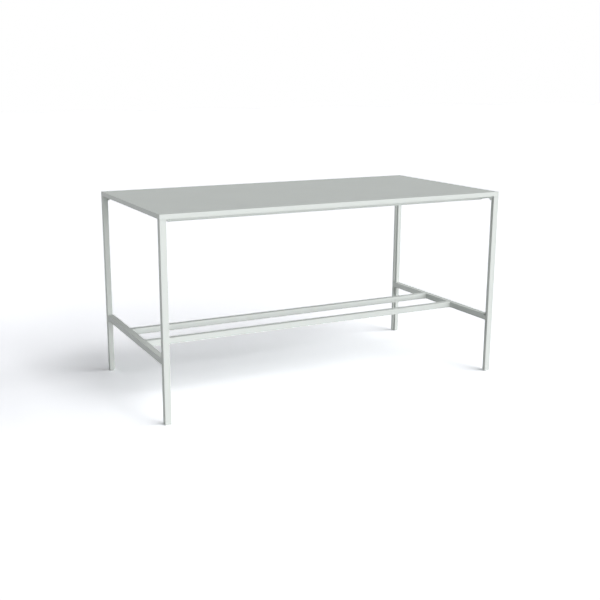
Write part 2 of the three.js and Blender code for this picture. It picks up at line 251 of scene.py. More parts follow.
def add_spread(tree, factor, low, high):
    spread = tree.nodes.new("ShaderNodeMapRange")
    spread.inputs["To Min"].default_value = low
    spread.inputs["To Max"].default_value = high
    tree.links.new(factor, spread.inputs["Value"])
    return spread.outputs["Result"]


def add_bump(tree, height, distance, under=None):
    bump = tree.nodes.new("ShaderNodeBump")
    bump.inputs["Distance"].default_value = distance
    tree.links.new(height, bump.inputs["Height"])
    if under is not None:
        tree.links.new(under, bump.inputs["Normal"])
    return bump.outputs["Normal"]


def shade(colour, amount):
    return tuple(channel * amount for channel in colour)


# %% [markdown]
# ### Powder coat
# The steel is powder coated in a pale grey green. Sprayed powder melts into a skin with a faint
# orange peel, waves of two or three millimetres with a finer grain on top, and its gloss
# changes a little with its thickness. Two noises make the bump, and a slow noise shifts the
# colour by a few hundredths along the length of a tube.

# %% Powder coat
PALE_GREEN = (0.692, 0.729, 0.705)
powder_coat, tree, shader, place = start_finish("powder_coat")
clouds = add_noise(tree, place, 7.0, 3.0)
grain = add_noise(tree, place, 1700.0)
waves = add_noise(tree, place, 420.0)
mottle = add_blend(tree, clouds, grain, 0.5)
coat_colour = add_tints(tree, mottle, (0.3, shade(PALE_GREEN, 0.97)), (0.7, shade(PALE_GREEN, 1.03)))
tree.links.new(coat_colour, shader.inputs["Base Color"])
tree.links.new(add_spread(tree, add_blend(tree, clouds, waves, 0.5), 0.50, 0.66), shader.inputs["Roughness"])
shader.inputs["Specular IOR Level"].default_value = 0.35
peel = add_bump(tree, waves, 0.00006)
tree.links.new(add_bump(tree, grain, 0.00001, peel), shader.inputs["Normal"])
print("powder coat:", PALE_GREEN)

# %% [markdown]
# ### Laminate and edge band
# The board has a matt pressed laminate of the same colour. Its press plate leaves a fine pearl
# of dots under a millimetre wide, which the cells of a Voronoi texture give. The plastic edge
# band is a little smoother and shows faint lines where it was scraped.

# %% Laminate
laminate, tree, shader, place = start_finish("top_laminate_pearl")
pearl, _ = add_cells(tree, place, 1500.0)
clouds = add_noise(tree, place, 4.0, 4.0)
speckle = add_noise(tree, place, 900.0)
mottle = add_blend(tree, clouds, speckle, 0.55)
laminate_colour = add_tints(tree, mottle, (0.3, shade(PALE_GREEN, 0.975)), (0.7, shade(PALE_GREEN, 1.025)))
tree.links.new(laminate_colour, shader.inputs["Base Color"])
tree.links.new(add_spread(tree, speckle, 0.70, 0.84), shader.inputs["Roughness"])
shader.inputs["Specular IOR Level"].default_value = 0.2
tree.links.new(add_bump(tree, pearl, 0.00002), shader.inputs["Normal"])

# %% Edge band
edge_band_finish, tree, shader, place = start_finish("edge_band_plastic")
flat_lines = tree.nodes.new("ShaderNodeMapping")
flat_lines.inputs["Scale"].default_value = (12.0, 12.0, 2200.0)
tree.links.new(place, flat_lines.inputs["Vector"])
scrapes = add_noise(tree, flat_lines.outputs["Vector"], 1.0, 3.0)
grain = add_noise(tree, place, 1300.0)
mottle = add_blend(tree, scrapes, grain, 0.5)
band_colour = add_tints(tree, mottle, (0.3, shade(PALE_GREEN, 0.975)), (0.7, shade(PALE_GREEN, 1.025)))
tree.links.new(band_colour, shader.inputs["Base Color"])
tree.links.new(add_spread(tree, mottle, 0.52, 0.68), shader.inputs["Roughness"])
shader.inputs["Specular IOR Level"].default_value = 0.35
tree.links.new(add_bump(tree, mottle, 0.00001), shader.inputs["Normal"])

# %% [markdown]
# ### Particle board, zinc and nylon
# The core is pressed from wood chips: cells of several browns, with a rough surface. The screws
# and studs are steel with a bright zinc plate, which is metallic and has small crystals of
# different gloss. The glides and plugs are moulded in grey nylon with a spark-eroded grain.

# %% Particle board
particle_board, tree, shader, place = start_finish("particle_board")
gaps, chips = add_cells(tree, place, 420.0)
fibres = add_noise(tree, place, 1600.0, 4.0)
chip_tone = tree.nodes.new("ShaderNodeSeparateColor")
tree.links.new(chips, chip_tone.inputs["Color"])
browns = add_blend(tree, chip_tone.outputs["Red"], fibres, 0.4)
chip_colour = add_tints(tree, browns, (0.15, (0.23, 0.13, 0.06)), (0.5, (0.44, 0.29, 0.15)), (0.85, (0.62, 0.45, 0.26)))
tree.links.new(chip_colour, shader.inputs["Base Color"])
tree.links.new(add_spread(tree, fibres, 0.75, 0.95), shader.inputs["Roughness"])
tree.links.new(add_bump(tree, gaps, 0.0002), shader.inputs["Normal"])

# %% Zinc plate
zinc_plate, tree, shader, place = start_finish("zinc_plate")
_, crystals = add_cells(tree, place, 1100.0)
crystal_tone = tree.nodes.new("ShaderNodeSeparateColor")
tree.links.new(crystals, crystal_tone.inputs["Color"])
haze = add_noise(tree, place, 300.0, 4.0)
spangle = add_blend(tree, crystal_tone.outputs["Red"], haze, 0.5)
zinc_colour = add_tints(tree, spangle, (0.2, (0.50, 0.52, 0.54)), (0.8, (0.66, 0.68, 0.69)))
shader.inputs["Metallic"].default_value = 1.0
tree.links.new(zinc_colour, shader.inputs["Base Color"])
tree.links.new(add_spread(tree, spangle, 0.24, 0.44), shader.inputs["Roughness"])
tree.links.new(add_bump(tree, haze, 0.00002), shader.inputs["Normal"])

# %% Nylon
grey_nylon, tree, shader, place = start_finish("grey_nylon")
sparks = add_noise(tree, place, 2200.0, 3.0)
flow = add_noise(tree, place, 90.0, 3.0)
mottle = add_blend(tree, flow, sparks, 0.4)
nylon_colour = add_tints(tree, mottle, (0.3, (0.235, 0.25, 0.243)), (0.7, (0.285, 0.30, 0.292)))
tree.links.new(nylon_colour, shader.inputs["Base Color"])
tree.links.new(add_spread(tree, sparks, 0.48, 0.66), shader.inputs["Roughness"])
tree.links.new(add_bump(tree, sparks, 0.00003), shader.inputs["Normal"])
print("finishes:", len(bpy.data.materials))

# %% [markdown]
# ## Tools for modelling
# Every piece starts as a primitive and is shaped in edit mode. Faces and edges are picked in
# code by their place and by the way they point, where a hand would click on them.
# The helpers below do what is needed for every piece: a block between two corners, a pick of
# faces or edges, and smooth rounds beside flats that stay flat.

# %% Pick, block and smooth
SMOOTH_ANGLE = math.radians(35)
TINY = 1e-5


def make_alone(piece):
    bpy.ops.object.select_all(action="DESELECT")
    piece.select_set(True)
    bpy.context.view_layer.objects.active = piece


def add_block(name, low, high):
    bpy.ops.object.select_all(action="DESELECT")
    bpy.ops.mesh.primitive_cube_add(size=1, location=(low + high) / 2)
    block = bpy.context.object
    block.name = name
    block.scale = high - low
    bpy.ops.object.transform_apply(location=True, rotation=True, scale=True)
    return block


def add_rod(name, radius, start, end, sides=32):
    along = Vector(end) - Vector(start)
    turn = along.to_track_quat("Z", "Y").to_euler()
    middle = (Vector(start) + Vector(end)) / 2
    bpy.ops.object.select_all(action="DESELECT")
    bpy.ops.mesh.primitive_cylinder_add(vertices=sides, radius=radius, depth=along.length,
                                        location=middle, rotation=turn)
    rod = bpy.context.object
    rod.name = name
    bpy.ops.object.transform_apply(location=True, rotation=True, scale=True)
    return rod


def combine(piece, tool, operation):
    make_alone(piece)
    change = piece.modifiers.new(operation.lower(), "BOOLEAN")
    change.operation = operation
    change.solver = "EXACT"
    change.object = tool
    bpy.ops.object.modifier_apply(modifier=change.name)
    bpy.data.objects.remove(tool, do_unlink=True)


def drill(piece, radius, start, end):
    combine(piece, add_rod("drill", radius, start, end), "DIFFERENCE")


def pick_faces(wanted):
    mesh = bpy.context.object.data
    bpy.ops.mesh.select_mode(type="FACE")
    bpy.ops.mesh.select_all(action="DESELECT")
    shape = bmesh.from_edit_mesh(mesh)
    for face in shape.faces:
        face.select_set(wanted(face.calc_center_median(), face.normal))
    bmesh.update_edit_mesh(mesh)


def pick_edges(wanted):
    mesh = bpy.context.object.data
    bpy.ops.mesh.select_mode(type="EDGE")
    bpy.ops.mesh.select_all(action="DESELECT")
    shape = bmesh.from_edit_mesh(mesh)
    for edge in shape.edges:
        edge.select_set(wanted(edge.verts[0].co, edge.verts[1].co))
    bmesh.update_edit_mesh(mesh)


def near(a, b):
    return abs(a - b) < TINY


def smooth_rounds(piece):
    make_alone(piece)
    bpy.ops.object.shade_smooth_by_angle(angle=SMOOTH_ANGLE)
    even = piece.modifiers.new("even_flats", "WEIGHTED_NORMAL")
    even.keep_sharp = True
    bpy.ops.object.modifier_apply(modifier=even.name)


def merge_close(piece):
    make_alone(piece)
    bpy.ops.object.mode_set(mode="EDIT")
    bpy.ops.mesh.select_all(action="SELECT")
    bpy.ops.mesh.remove_doubles(threshold=TINY)
    bpy.ops.mesh.delete_loose()
    bpy.ops.mesh.select_all(action="SELECT")
    bpy.ops.mesh.normals_make_consistent(inside=False)
    bpy.ops.object.mode_set(mode="OBJECT")


def mirror_copy(piece, name, flip):
    make_alone(piece)
    bpy.ops.object.duplicate()
    copy = bpy.context.object
    copy.name = name
    copy.scale = flip
    bpy.ops.object.transform_apply(location=True, rotation=True, scale=True)
    merge_close(copy)
    return copy


def dress(piece, node, finish, body="frame"):
    piece.data.materials.clear()
    piece.data.materials.append(finish)
    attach(piece, body)
    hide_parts(node)


SIDES = {"left": -1, "right": 1}
ENDS = {"front": -1, "back": 1}
CORNERS = {f"{end}_{side}": (SIDES[side], ENDS[end]) for end in ENDS for side in SIDES}


def copy_to_corners(first, kind):
    merge_close(first)
    pieces = {"front_left": first}
    for corner, (side, end) in CORNERS.items():
        if corner not in pieces:
            pieces[corner] = mirror_copy(first, f"{corner}_{kind}", (-side, -end, 1))
    for piece in pieces.values():
        smooth_rounds(piece)
    return pieces


print("corners:", ", ".join(CORNERS))

# %% [markdown]
# ## Square tube
# The stretchers, the foot rails, the aprons and the bearers are all cut from welded steel tube
# with small round corners. A cube gives the outside. Its two ends are inset by the wall, the
# middles are taken out, and a bridge between the two openings makes the bore. The round
# corners are a bevel on the four long edges alone, because the ends are sawn square.

# %% Make a tube
TUBE_ROUND = 0.0005
ROUND_STEPS = 4


def hollow(axis, wall):
    pick_faces(lambda centre, normal: abs(normal[axis]) > 0.9)
    bpy.ops.mesh.inset(thickness=wall, depth=0, use_boundary=True, use_even_offset=True)
    bpy.ops.mesh.delete(type="FACE")
    bpy.ops.mesh.select_mode(type="EDGE")
    bpy.ops.mesh.select_all(action="DESELECT")
    bpy.ops.mesh.select_non_manifold()
    bpy.ops.mesh.bridge_edge_loops()
    bpy.ops.mesh.select_all(action="SELECT")
    bpy.ops.mesh.normals_make_consistent(inside=False)


def make_tube(name, node, axis, wall):
    low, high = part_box(node)
    across = [a for a in range(3) if a != axis]
    tube = add_block(name, low, high)
    bpy.ops.object.mode_set(mode="EDIT")
    hollow(axis, wall)

    def long_corner(a, b):
        along = not near(a[axis], b[axis])
        return along and all(near(a[c], low[c]) or near(a[c], high[c]) for c in across)

    pick_edges(long_corner)
    bpy.ops.mesh.bevel(offset=TUBE_ROUND, segments=ROUND_STEPS, affect="EDGES")
    bpy.ops.object.mode_set(mode="OBJECT")
    return tube


def make_tube_pair(first, second, axis, wall, flip, holes=()):
    tube = make_tube(f"{first}_tube", first, axis, wall)
    for hole in holes:
        drill(tube, *hole)
    other = mirror_copy(tube, f"{second}_tube", flip)
    for piece, node in ((tube, first), (other, second)):
        smooth_rounds(piece)
        dress(piece, node, powder_coat)
        print(piece.name, len(piece.data.polygons), "faces")


FRONT_TO_BACK = (1, -1, 1)
LEFT_TO_RIGHT = (-1, 1, 1)
FRAME_WALL = 0.0025
APRON_WALL = 0.002
ALONG_X, ALONG_Y = 0, 1
make_tube_pair("foot_rail_front", "foot_rail_back", ALONG_X, FRAME_WALL, FRONT_TO_BACK)

FIT = 0.0003
STUD_HOLE = 0.004 + FIT
stud_holes = []
for end in ("front", "back"):
    low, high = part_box(f"foot_rail_joint_{end}_left")
    rail_low, rail_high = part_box(f"foot_rail_{end}")
    middle = (rail_low + rail_high) / 2
    stud_holes.append((STUD_HOLE, (low.x - FIT, middle.y, middle.z), (rail_low.x, middle.y, middle.z)))
make_tube_pair("end_stretcher_left", "end_stretcher_right", ALONG_Y, FRAME_WALL, LEFT_TO_RIGHT,
               stud_holes)
make_tube_pair("apron_front", "apron_back", ALONG_X, APRON_WALL, FRONT_TO_BACK)
make_tube_pair("apron_left", "apron_right", ALONG_Y, APRON_WALL, LEFT_TO_RIGHT)
make_tube_pair("cross_bearer_left", "cross_bearer_right", ALONG_Y, APRON_WALL, LEFT_TO_RIGHT)

# %% [markdown]
# ## Legs
# A leg is a drawn section with a rebate at the corner that faces the middle of the table, so
# that it looks like two flat bars standing together. The block of the deeper bar is made first.
# A bisect divides it where the rebate begins, and the outer half of its inner face is extruded
# by the width of the rebate. The tube steps then follow, and the bevel takes only the outward
# corners, because the inward corner of a drawn section stays crisp. Two holes for the pin screws
# are drilled in the walls of the rebate. One leg is made and mirrored to the other corners.

# %% Make a leg
REBATE_WIDTH = 0.009
REBATE_DEPTH = 0.0165
UP = 2
leg_low, leg_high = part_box("leg_front_left")
step_x = leg_high.x - REBATE_WIDTH
step_y = leg_high.y - REBATE_DEPTH


def add_section(name, low, high):
    notch_x = high.x - REBATE_WIDTH
    notch_y = high.y - REBATE_DEPTH
    bar = add_block(name, low, Vector((notch_x, high.y, high.z)))
    bpy.ops.object.mode_set(mode="EDIT")
    bpy.ops.mesh.select_all(action="SELECT")
    bpy.ops.mesh.bisect(plane_co=(0, notch_y, 0), plane_no=(0, 1, 0))
    pick_faces(lambda centre, normal: normal.x > 0.9 and centre.y < notch_y)
    bpy.ops.mesh.extrude_region_move(TRANSFORM_OT_translate={"value": (REBATE_WIDTH, 0, 0)})
    bpy.ops.object.mode_set(mode="OBJECT")
    return bar


def outward_corner(a, b):
    outward = ((leg_low.x, leg_low.y), (leg_high.x, leg_low.y), (leg_high.x, step_y),
               (step_x, leg_high.y), (leg_low.x, leg_high.y))
    on_corner = any(near(a.x, x) and near(a.y, y) for x, y in outward)
    return on_corner and near(a.x, b.x) and near(a.y, b.y)


first_leg = add_section("front_left_leg", leg_low, leg_high)
bpy.ops.object.mode_set(mode="EDIT")
hollow(UP, FRAME_WALL)
pick_edges(outward_corner)
bpy.ops.mesh.bevel(offset=TUBE_ROUND, segments=ROUND_STEPS, affect="EDGES")
bpy.ops.object.mode_set(mode="OBJECT")

# %% Drill and copy the leg
PIN_HOLE = 0.00175 + FIT
PIN_TAIL = 0.005
casting_low, casting_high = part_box("corner_screw_front_left")
tongue_low, tongue_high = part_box("joint_screw_front_left")
casting_pin_at = (casting_low + casting_high) / 2
tongue_pin_at = (tongue_low + tongue_high) / 2
web_hole = ((step_x - 2 * FRAME_WALL, casting_pin_at.y, casting_pin_at.z),
            (step_x + FIT, casting_pin_at.y, casting_pin_at.z))
wall_hole = ((tongue_pin_at.x, step_y - 2 * FRAME_WALL, tongue_pin_at.z),
             (tongue_pin_at.x, step_y + FIT, tongue_pin_at.z))
for hole in (web_hole, wall_hole):
    drill(first_leg, PIN_HOLE, *hole)
for corner, leg in copy_to_corners(first_leg, "leg").items():
    dress(leg, f"leg_{corner}", powder_coat)
    print(leg.name, len(leg.data.polygons), "faces")

# %% [markdown]
# ## Edge bands
# The rim of the board is a 2 mm plastic band, glued on and then trimmed: its upper edge is
# rounded with a trimming cutter and its lower edge is only scraped. Two bevels of different
# sizes on a block say the same.

# %% Band the board
TRIMMED_ROUND = 0.001
SCRAPED_EDGE = 0.0003


def make_band(name, node, axis, outside):
    low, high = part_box(node)
    band = add_block(name, low, high)
    across = 1 - axis
    face = high[across] if outside > 0 else low[across]

    def outer_edge(a, b, level):
        return near(a.z, level) and near(b.z, level) and near(a[across], face) and near(b[across], face)

    bpy.ops.object.mode_set(mode="EDIT")
    pick_edges(lambda a, b: outer_edge(a, b, high.z))
    bpy.ops.mesh.bevel(offset=TRIMMED_ROUND, segments=ROUND_STEPS, affect="EDGES")
    pick_edges(lambda a, b: outer_edge(a, b, low.z))
    bpy.ops.mesh.bevel(offset=SCRAPED_EDGE, segments=2, affect="EDGES")
    bpy.ops.object.mode_set(mode="OBJECT")
    return band


def make_band_pair(first, second, axis, flip):
    band = make_band(f"{first}_trimmed", first, axis, -1)
    other = mirror_copy(band, f"{second}_trimmed", flip)
    for piece, node in ((band, first), (other, second)):
        smooth_rounds(piece)
        dress(piece, node, edge_band_finish)
        print(piece.name, len(piece.data.polygons), "faces")


make_band_pair("edge_band_front", "edge_band_back", ALONG_X, FRONT_TO_BACK)
make_band_pair("edge_band_left", "edge_band_right", ALONG_Y, LEFT_TO_RIGHT)

# %% [markdown]
# ## Corner castings
# A casting caps the leg, reaches down into it, fills the top of its rebate and carries the
# corner of the apron ring on a diagonal arm. It is glued up from simple bodies, as a pattern
# maker does it: each body gets its small rounds first and is then joined on by a union.
# The arm is a block whose far lower edge is pulled down to the hub. Its near end is extruded back
# into the leg and down, a rod cut out of it leaves the round root at the corner of the leg, and
# what would stand in the leg is cut away.

# %% Make the arm
CAST_ROUND = 0.0004
SHARP_TURN = math.radians(40)
FLAT_TURN = math.radians(1)
ARM_THICKNESS = 0.017
ARM_DEPTH = 0.012
ROOT_ROUND = 0.012
hub_low = Vector((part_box("apron_left")[0].x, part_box("apron_front")[0].y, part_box("apron_front")[0].z))
hub_high = Vector((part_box("apron_left")[1].x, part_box("apron_front")[1].y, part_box("apron_front")[1].z))
hub_middle = (hub_low + hub_high) / 2
frame_top = hub_high.z
root_bottom = frame_top - ARM_DEPTH - ROOT_ROUND


def ease(piece):
    make_alone(piece)
    bpy.ops.object.mode_set(mode="EDIT")
    bpy.ops.mesh.select_all(action="SELECT")
    bpy.ops.mesh.dissolve_limited(angle_limit=FLAT_TURN)
    bpy.ops.object.mode_set(mode="OBJECT")
    rounding = piece.modifiers.new("eased_edges", "BEVEL")
    rounding.width = CAST_ROUND
    rounding.segments = 2
    rounding.limit_method = "ANGLE"
    rounding.angle_limit = SHARP_TURN
    bpy.ops.object.modifier_apply(modifier=rounding.name)
    return piece


def make_arm(start, end):
    run = (end - start).xy
    leave = (leg_high - start).xy.dot(run) / run.length
    beam = leave + ROOT_ROUND
    under = frame_top - ARM_DEPTH
    half = ARM_THICKNESS / 2
    arm = add_block("arm", Vector((beam, -half, under)), Vector((run.length, half, frame_top)))
    bpy.ops.object.mode_set(mode="EDIT")
    pick_edges(lambda a, b: all(near(c.x, run.length) and near(c.z, under) for c in (a, b)))
    bpy.ops.transform.translate(value=(0, 0, hub_low.z - under))
    pick_faces(lambda centre, normal: normal.x < -0.9)
    bpy.ops.mesh.extrude_region_move(TRANSFORM_OT_translate={"value": (-beam - half, 0, 0)})
    pick_faces(lambda centre, normal: normal.z < -0.9 and centre.x < beam)
    bpy.ops.mesh.extrude_region_move(TRANSFORM_OT_translate={"value": (0, 0, -ROOT_ROUND)})
    bpy.ops.object.mode_set(mode="OBJECT")
    carve = add_rod("carve", ROOT_ROUND, (beam, -ARM_THICKNESS, root_bottom),
                    (beam, ARM_THICKNESS, root_bottom), 64)
    combine(arm, carve, "DIFFERENCE")
    ease(arm)
    arm.rotation_euler.z = math.atan2(run.y, run.x)
    arm.location = (start.x, start.y, 0)
    make_alone(arm)
    bpy.ops.object.transform_apply(location=True, rotation=True, scale=True)
    leg_room_high = Vector((leg_high.x + FIT, leg_high.y + FIT, leg_high.z + FIT))
    leg_room_low = Vector((leg_low.x - FIT, leg_low.y - FIT, root_bottom - FIT))
    combine(arm, add_section("leg_room", leg_room_low, leg_room_high), "DIFFERENCE")
    return arm


arm_start = Vector((leg_high.x - REBATE_WIDTH / 2, leg_high.y - REBATE_DEPTH / 2, 0))
first_arm = make_arm(arm_start, hub_middle)
print("arm:", len(first_arm.data.polygons), "faces")

# %% Make the cap and the hub
CAP_THICKNESS = 0.004
LEG_SPIGOT = 0.045
APRON_SPIGOT = 0.040
leg_inset = Vector((FRAME_WALL + FIT, FRAME_WALL + FIT, 0))
apron_inset = APRON_WALL + FIT
cap = add_block("cap", Vector((leg_low.x, leg_low.y, frame_top - CAP_THICKNESS)),
                Vector((leg_high.x, leg_high.y, frame_top)))
bpy.ops.object.mode_set(mode="EDIT")
pick_edges(lambda a, b: outward_corner(a, b) or outward_corner(b, a))
bpy.ops.mesh.bevel(offset=TUBE_ROUND, segments=ROUND_STEPS, affect="EDGES")
bpy.ops.object.mode_set(mode="OBJECT")
spigot_low = Vector((leg_low.x, leg_low.y, leg_high.z - LEG_SPIGOT)) + leg_inset
spigot_high = Vector((leg_high.x, leg_high.y, frame_top - FIT)) - leg_inset
bodies = [ease(cap), ease(add_section("leg_spigot", spigot_low, spigot_high))]
bodies.append(ease(add_block("rebate_filler", Vector((step_x + FIT, step_y + FIT, root_bottom)),
                             Vector((leg_high.x, leg_high.y, frame_top)))))
for axis in (ALONG_X, ALONG_Y):
    low = hub_low + Vector((apron_inset,) * 3)
    high = hub_high - Vector((apron_inset,) * 3)
    low[axis] = hub_high[axis] - FIT
    high[axis] = hub_high[axis] + APRON_SPIGOT
    bodies.append(ease(add_block("apron_spigot", low, high)))
casting = ease(add_block("front_left_corner_casting", hub_low, hub_high))
for body in bodies + [first_arm]:
    combine(casting, body, "UNION")

# %% Drill and copy the casting
BOARD_HOLE = 0.0025 + FIT
COUNTERBORE = 0.005 + FIT
COUNTERBORE_DEPTH = 0.004
hub_under = (hub_middle.x, hub_middle.y, hub_low.z - FIT)
drill(casting, BOARD_HOLE, hub_under, (hub_middle.x, hub_middle.y, frame_top + FIT))
drill(casting, COUNTERBORE, hub_under, (hub_middle.x, hub_middle.y, hub_low.z + COUNTERBORE_DEPTH))
drill(casting, PIN_HOLE, (casting_low.x - FIT, casting_pin_at.y, casting_pin_at.z), web_hole[1])
for corner, piece in copy_to_corners(casting, "corner_casting").items():
    dress(piece, f"corner_casting_{corner}", powder_coat)
print("casting:", len(casting.data.polygons), "faces each")

# %% [markdown]
# ## Connectors
# The connector of a stretcher is a collar with the tube's outline, a spigot in the tube, a block
# that fills the foot of the rebate and a tongue that is screwed to the leg. Small round roots
# soften the corner between the collar and the leg. The foot rails have a plainer connector that
# is already exact in the solids: a copy of it is merged, its flat neighbours are joined into one
# face and its edges are eased.

# %% Connect the stretchers
STRETCHER_SPIGOT = 0.030
COLLAR_ROOT = 0.002
ROOT_TIP = 0.0001
FILL_HEIGHT = 0.027
TONGUE_WIDTH = 0.006
TONGUE_THICKNESS = 0.0035
stretcher_low, stretcher_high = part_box("end_stretcher_left")
collar_start = leg_high.y + FIT
collar_end = stretcher_low.y - FIT
joint_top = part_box("stretcher_joint_front_left")[1].z
connector = add_block("front_left_stretcher_joint", Vector((leg_low.x, collar_start, stretcher_low.z)),
                      Vector((leg_high.x, collar_end, stretcher_high.z)))
bpy.ops.object.mode_set(mode="EDIT")
pick_edges(lambda a, b: not near(a.y, b.y))
bpy.ops.mesh.bevel(offset=TUBE_ROUND, segments=ROUND_STEPS, affect="EDGES")
bpy.ops.object.mode_set(mode="OBJECT")
ease(connector)
tube_inset = FRAME_WALL + FIT
rebate_corner = Vector((step_x + FIT, step_y + FIT, stretcher_low.z))
bodies = [
    add_block("spigot", Vector((leg_low.x + tube_inset, collar_end - FIT, stretcher_low.z + tube_inset)),
              Vector((leg_high.x - tube_inset, collar_end + STRETCHER_SPIGOT, stretcher_high.z - tube_inset))),
    add_block("filler", rebate_corner, Vector((leg_high.x, collar_start + FIT, stretcher_low.z + FILL_HEIGHT))),
    add_block("tongue", rebate_corner, Vector((rebate_corner.x + TONGUE_WIDTH,
                                               rebate_corner.y + TONGUE_THICKNESS, joint_top))),
]
for body in bodies:
    combine(connector, ease(body), "UNION")
root_end = collar_start + COLLAR_ROOT
for level, away in ((stretcher_high.z, 1), (stretcher_low.z, -1)):
    tip = level + away * COLLAR_ROOT
    inside = level - away * COLLAR_ROOT
    root = add_block("root", Vector((leg_low.x + TUBE_ROUND, collar_start, min(inside, tip))),
                     Vector((step_x, root_end, max(inside, tip))))
    scoop_y = root_end + ROOT_TIP
    scoop_z = tip + away * ROOT_TIP
    drill(root, COLLAR_ROOT, (leg_low.x, scoop_y, scoop_z), (step_x + FIT, scoop_y, scoop_z))
    combine(connector, root, "UNION")
drill(connector, PIN_HOLE, wall_hole[0], (tongue_pin_at.x, leg_high.y, tongue_pin_at.z))
for corner, piece in copy_to_corners(connector, "stretcher_joint").items():
    dress(piece, f"stretcher_joint_{corner}", powder_coat)
print("stretcher connector:", len(connector.data.polygons), "faces each")


# %% Connect the foot rails
def copy_eased(node, name):
    cast = bpy.data.objects.new(name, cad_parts[node].data.copy())
    bpy.context.scene.collection.objects.link(cast)
    merge_close(cast)
    return ease(cast)


connector = copy_eased("foot_rail_joint_front_left", "front_left_foot_rail_joint")
for corner, piece in copy_to_corners(connector, "foot_rail_joint").items():
    dress(piece, f"foot_rail_joint_{corner}", powder_coat)
print("foot rail connector:", len(connector.data.polygons), "faces each")

# %% [markdown]
# ## Threads
# A thread is one small outline wound round an axis. An upright plane, one pitch high and one
# thread deep, gives that outline: its face and its inner edge are deleted and its outer edge is
# narrowed to the crest. The Screw modifier winds it up, and two bisects with a fill cut the rod
# to length and close its ends.

# %% Wind a thread
THREAD_STEPS = 20
CREST_SHARE = 0.25
START_SHARE = 0.78


def thread_rod(name, radius, depth, pitch, low, high):
    root = radius - depth
    turns = math.ceil((high - low) / pitch) + 2
    bpy.ops.object.select_all(action="DESELECT")
    bpy.ops.mesh.primitive_plane_add(size=1, rotation=(math.pi / 2, 0, 0))
    rod = bpy.context.object
    rod.name = name
    rod.scale = (depth, pitch, 1)
    rod.location = (root + depth / 2, 0, low - START_SHARE * pitch)
    bpy.ops.object.transform_apply(location=True, rotation=True, scale=True)
    bpy.ops.object.mode_set(mode="EDIT")
    bpy.ops.mesh.select_all(action="SELECT")
    bpy.ops.mesh.delete(type="ONLY_FACE")
    pick_edges(lambda a, b: near(a.x, root) and near(b.x, root))
    bpy.ops.mesh.delete(type="EDGE")
    pick_edges(lambda a, b: near(a.x, radius) and near(b.x, radius))
    bpy.ops.transform.resize(value=(1, 1, CREST_SHARE))
    bpy.ops.object.mode_set(mode="OBJECT")
    winding = rod.modifiers.new("winding", "SCREW")
    winding.screw_offset = pitch
    winding.iterations = turns
    winding.steps = THREAD_STEPS
    winding.render_steps = THREAD_STEPS
    bpy.ops.object.modifier_apply(modifier=winding.name)
    bpy.ops.object.mode_set(mode="EDIT")
    bpy.ops.mesh.select_all(action="SELECT")
    bpy.ops.mesh.remove_doubles(threshold=TINY)
    bpy.ops.mesh.bisect(plane_co=(0, 0, low), plane_no=(0, 0, 1), use_fill=True, clear_inner=True)
    bpy.ops.mesh.select_all(action="SELECT")
    bpy.ops.mesh.bisect(plane_co=(0, 0, high), plane_no=(0, 0, 1), use_fill=True, clear_outer=True)
    bpy.ops.mesh.select_all(action="SELECT")
    bpy.ops.mesh.normals_make_consistent(inside=False)
    bpy.ops.object.mode_set(mode="OBJECT")
    return rod


# %% [markdown]
# ## Screws
# Three kinds of zinc-plated screw hold the frame: a long one in each casting goes up into the
# board, and two short ones in each rebate pin the casting and the stretcher's connector to the
# leg. Each kind is modelled once with its head below the origin and its shank along +Z. The
# head is a cylinder with a bevelled rim, a six-sided prism cuts the socket for the key, and the
# thread is joined on. Copies are then turned to their corners.

# %% Make the screws
HEAD_EASE = 0.0005
HEX_TO_ROUND = 2 / math.sqrt(3)
HEX_SIDES = 6
SOCKET_FLOOR = 0.4


def make_screw(name, head_radius, head_height, radius, length, pitch, key):
    head = add_rod(name, head_radius, (0, 0, -head_height), (0, 0, 0))
    bpy.ops.object.mode_set(mode="EDIT")
    pick_edges(lambda a, b: near(a.z, -head_height) and near(b.z, -head_height))
    bpy.ops.mesh.bevel(offset=HEAD_EASE, segments=3, affect="EDGES")
    bpy.ops.object.mode_set(mode="OBJECT")
    socket = add_rod("key_socket", key / 2 * HEX_TO_ROUND, (0, 0, -2 * head_height),
                     (0, 0, -SOCKET_FLOOR * head_height), HEX_SIDES)
    combine(head, socket, "DIFFERENCE")
    shank = thread_rod("shank", radius, pitch * 0.4, pitch, -head_height * 0.2, length)
    combine(head, shank, "UNION")
    return head


def place_copy(piece, name, direction, place):
    make_alone(piece)
    bpy.ops.object.duplicate()
    copy = bpy.context.object
    copy.name = name
    copy.rotation_euler = Vector(direction).to_track_quat("Z", "Y").to_euler()
    copy.location = place
    bpy.ops.object.transform_apply(location=True, rotation=True, scale=True)
    return copy


def screw_seat(node, axis, inward, head_height):
    low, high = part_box(node)
    seat = (low + high) / 2
    seat[axis] = (high[axis] - head_height) if inward > 0 else (low[axis] + head_height)
    return seat, high[axis] - low[axis]


